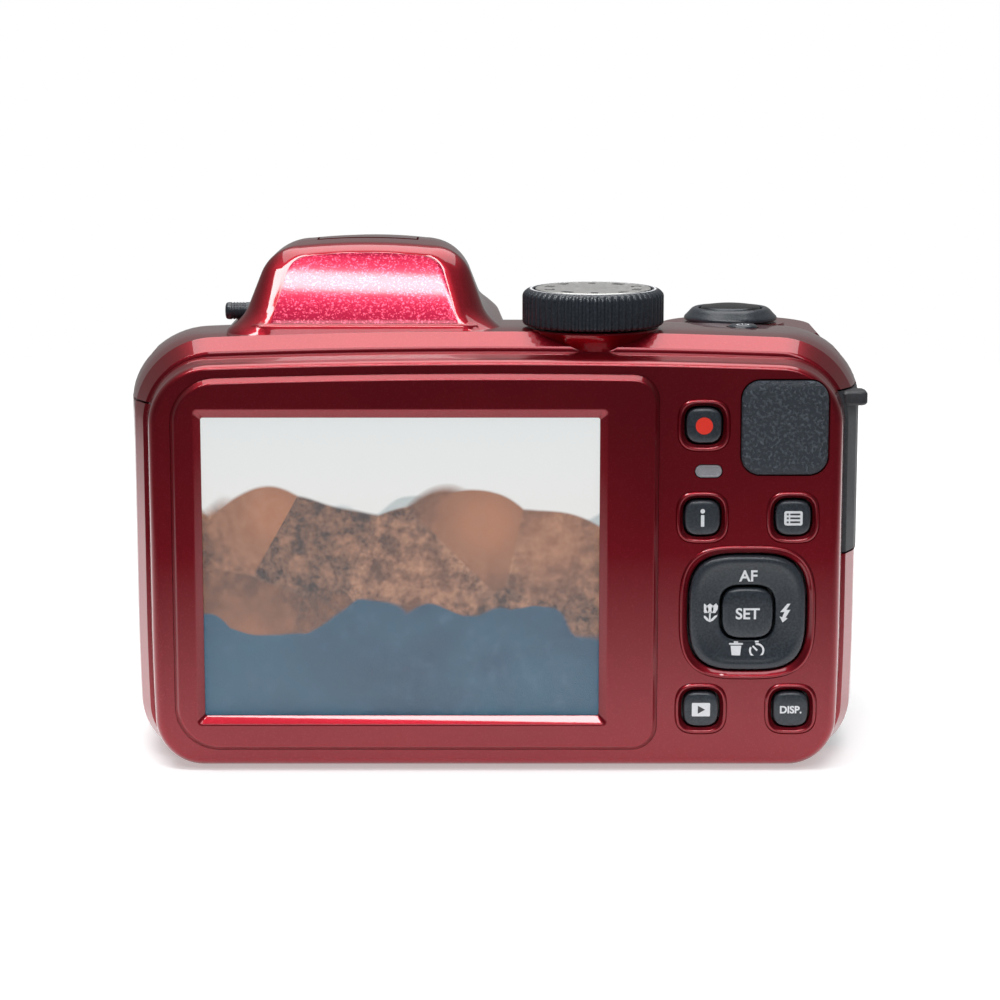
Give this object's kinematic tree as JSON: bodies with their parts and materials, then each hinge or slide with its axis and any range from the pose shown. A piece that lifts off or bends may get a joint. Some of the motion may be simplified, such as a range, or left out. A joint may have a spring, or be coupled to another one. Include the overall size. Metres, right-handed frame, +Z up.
{
  "type": "compact digital camera",
  "caption": "Bridge-style compact digital camera with a hand grip, rear screen, key pad, mode dial, pop-up flash and a telescoping zoom lens.",
  "frame": {"origin": "on the resting surface, under the middle of the camera's bounding box", "axes": "+X to the right for a person looking at the rear screen, +Y the way the lens looks, +Z up"},
  "size_m": [0.1186, 0.1, 0.083],
  "materials": {
    "red_paint": "moulded ABS with metallic dark red paint under a clear gloss coat",
    "flake_paint": "coarse silver flake in bright red paint under a clear gloss coat",
    "black_plastic": "satin black moulded plastic with a fine eroded texture",
    "black_rubber": "matt black thermoplastic rubber with a leather-like grain",
    "lens_black": "black satin plastic and anodised rings",
    "steel": "stamped and turned steel, lightly brushed",
    "clear_glass": "clear acrylic or glass, polished",
    "coated_glass": "polished optical glass with a violet-green coating",
    "display": "liquid crystal display under a polished cover",
    "green_board": "green solder mask on glass-fibre board",
    "brass": "machined brass",
    "grey_plastic": "grey moulded plastic",
    "dial_silver": "spun aluminium disc with printed symbols"
  },
  "bodies": {
    "root": {"rear_cover": "red_paint", "screen_frame": "red_paint", "screen_window": "clear_glass", "screen_panel": "display", "screen_backing_plate": "steel", "key_board": "green_board", "thumb_rest": "black_rubber", "status_lamp": "grey_plastic", "front_casing": "red_paint", "side_panel_left": "red_paint", "side_panel_right": "red_paint", "grip_cover": "black_rubber", "top_cover": "red_paint", "strap_bar_left": "steel", "strap_bar_right": "steel", "hump_rear_panel": "flake_paint", "lens_housing": "lens_black", "lens_base_plate": "steel", "image_sensor": "coated_glass", "zoom_motor": "steel", "battery_pack": "grey_plastic", "battery_holder": "black_plastic", "memory_card": "black_plastic", "memory_card_slot": "steel", "main_board": "green_board", "flash_capacitor": "black_plastic", "usb_socket": "steel", "tripod_bush": "brass", "case_screw_1": "steel", "case_screw_2": "steel", "case_screw_3": "steel", "case_screw_4": "steel"},
    "mode_dial": {"mode_dial": "black_plastic", "mode_dial_disc": "dial_silver"},
    "zoom_lever": {"zoom_lever": "black_plastic"},
    "shutter_button": {"shutter_button": "black_plastic"},
    "power_button": {"power_button": "black_plastic"},
    "record_button": {"record_button": "black_plastic"},
    "info_button": {"info_button": "black_plastic"},
    "menu_button": {"menu_button": "black_plastic"},
    "playback_button": {"playback_button": "black_plastic"},
    "display_button": {"display_button": "black_plastic"},
    "pad_rocker": {"pad_rocker_ring": "grey_plastic"},
    "four_way_pad": {"four_way_pad": "black_plastic"},
    "set_button": {"set_button": "black_plastic"},
    "flash_release_button": {"flash_release_button": "black_plastic"},
    "flash_head": {"flash_head": "red_paint", "flash_window": "clear_glass", "flash_reflector": "steel"},
    "outer_barrel": {"lens_barrel_outer": "lens_black", "aperture_shutter_unit": "black_plastic"},
    "inner_barrel": {"lens_barrel_inner": "lens_black", "front_lens_element": "coated_glass", "zoom_lens_group": "coated_glass"},
    "cam_ring": {"zoom_cam_ring": "lens_black"},
    "pinion": {"zoom_pinion": "brass"},
    "focus_group": {"focus_lens_group": "coated_glass"},
    "door_hinge_plate": {"battery_door_hinge": "steel"},
    "battery_door": {"battery_door": "black_plastic"},
    "port_cover": {"port_cover": "black_rubber"}
  },
  "joints": [
    {"name": "mode_dial_turn", "type": "hinge", "parent": "root", "child": "mode_dial", "pos_m": [0.0157, -0.0325, 0.072], "axis": [0, 0, 1], "continuous": true},
    {"name": "zoom_lever_turn", "type": "hinge", "parent": "root", "child": "zoom_lever", "pos_m": [0.04, -0.0045, 0.068], "axis": [0, 0, 1], "range_deg": [-18, 18], "stiffness_Nm_per_rad": 0.02},
    {"name": "shutter_press", "type": "slide", "parent": "root", "child": "shutter_button", "axis": [0, 0, -1], "range_m": [0, 0.001], "stiffness_N_per_m": 400},
    {"name": "power_press", "type": "slide", "parent": "root", "child": "power_button", "axis": [0, 0, -1], "range_m": [0, 0.0005], "stiffness_N_per_m": 400},
    {"name": "record_button_press", "type": "slide", "parent": "root", "child": "record_button", "axis": [0, 1, 0], "range_m": [0, 0.0006], "stiffness_N_per_m": 300},
    {"name": "info_button_press", "type": "slide", "parent": "root", "child": "info_button", "axis": [0, 1, 0], "range_m": [0, 0.0006], "stiffness_N_per_m": 300},
    {"name": "menu_button_press", "type": "slide", "parent": "root", "child": "menu_button", "axis": [0, 1, 0], "range_m": [0, 0.0006], "stiffness_N_per_m": 300},
    {"name": "playback_button_press", "type": "slide", "parent": "root", "child": "playback_button", "axis": [0, 1, 0], "range_m": [0, 0.0006], "stiffness_N_per_m": 300},
    {"name": "display_button_press", "type": "slide", "parent": "root", "child": "display_button", "axis": [0, 1, 0], "range_m": [0, 0.0006], "stiffness_N_per_m": 300},
    {"name": "pad_up_down", "type": "hinge", "parent": "root", "child": "pad_rocker", "pos_m": [0.0399, -0.0445, 0.026], "axis": [1, 0, 0], "range_deg": [-2.5, 2.5], "stiffness_Nm_per_rad": 0.05},
    {"name": "pad_left_right", "type": "hinge", "parent": "pad_rocker", "child": "four_way_pad", "pos_m": [0.0399, -0.0445, 0.026], "axis": [0, 0, 1], "range_deg": [-2.5, 2.5], "stiffness_Nm_per_rad": 0.05},
    {"name": "set_press", "type": "slide", "parent": "four_way_pad", "child": "set_button", "axis": [0, 1, 0], "range_m": [0, 0.0005], "stiffness_N_per_m": 300},
    {"name": "flash_release_press", "type": "slide", "parent": "root", "child": "flash_release_button", "axis": [1, 0, 0], "range_m": [0, 0.0008], "stiffness_N_per_m": 300},
    {"name": "flash_pop_up", "type": "hinge", "parent": "root", "child": "flash_head", "pos_m": [-0.021, -0.0205, 0.081], "axis": [1, 0, 0], "range_deg": [0, 50]},
    {"name": "lens_extend", "type": "slide", "parent": "root", "child": "outer_barrel", "axis": [0, 1, 0], "range_m": [0, 0.026]},
    {"name": "lens_inner_extend", "type": "slide", "parent": "outer_barrel", "child": "inner_barrel", "axis": [0, 1, 0], "range_m": [0, 0.026]},
    {"name": "cam_ring_turn", "type": "hinge", "parent": "root", "child": "cam_ring", "pos_m": [-0.021, 0, 0.036], "axis": [0, 1, 0], "range_deg": [0, 101]},
    {"name": "pinion_turn", "type": "hinge", "parent": "root", "child": "pinion", "pos_m": [0.00493, 0, 0.01416], "axis": [0, 1, 0], "range_deg": [-745, 0]},
    {"name": "focus_slide", "type": "slide", "parent": "root", "child": "focus_group", "axis": [0, 1, 0], "range_m": [-0.002, 0.005]},
    {"name": "door_swing", "type": "hinge", "parent": "root", "child": "door_hinge_plate", "pos_m": [0.028, 0, 0.0015], "axis": [0, 1, 0], "range_deg": [0, 92]},
    {"name": "door_slide", "type": "slide", "parent": "door_hinge_plate", "child": "battery_door", "axis": [1, 0, 0], "range_m": [0, 0.003]},
    {"name": "port_cover_swing", "type": "hinge", "parent": "root", "child": "port_cover", "pos_m": [0.0592, -0.0365, 0.0343], "axis": [0, 1, 0], "range_deg": [0, 95]}
  ],
  "couplings": [
    {"joint": "lens_inner_extend", "follows": "lens_extend", "ratio": 1},
    {"joint": "cam_ring_turn", "follows": "lens_extend", "rad_per_m": 67.128},
    {"joint": "pinion_turn", "follows": "lens_extend", "rad_per_m": -496.75}
  ]
}
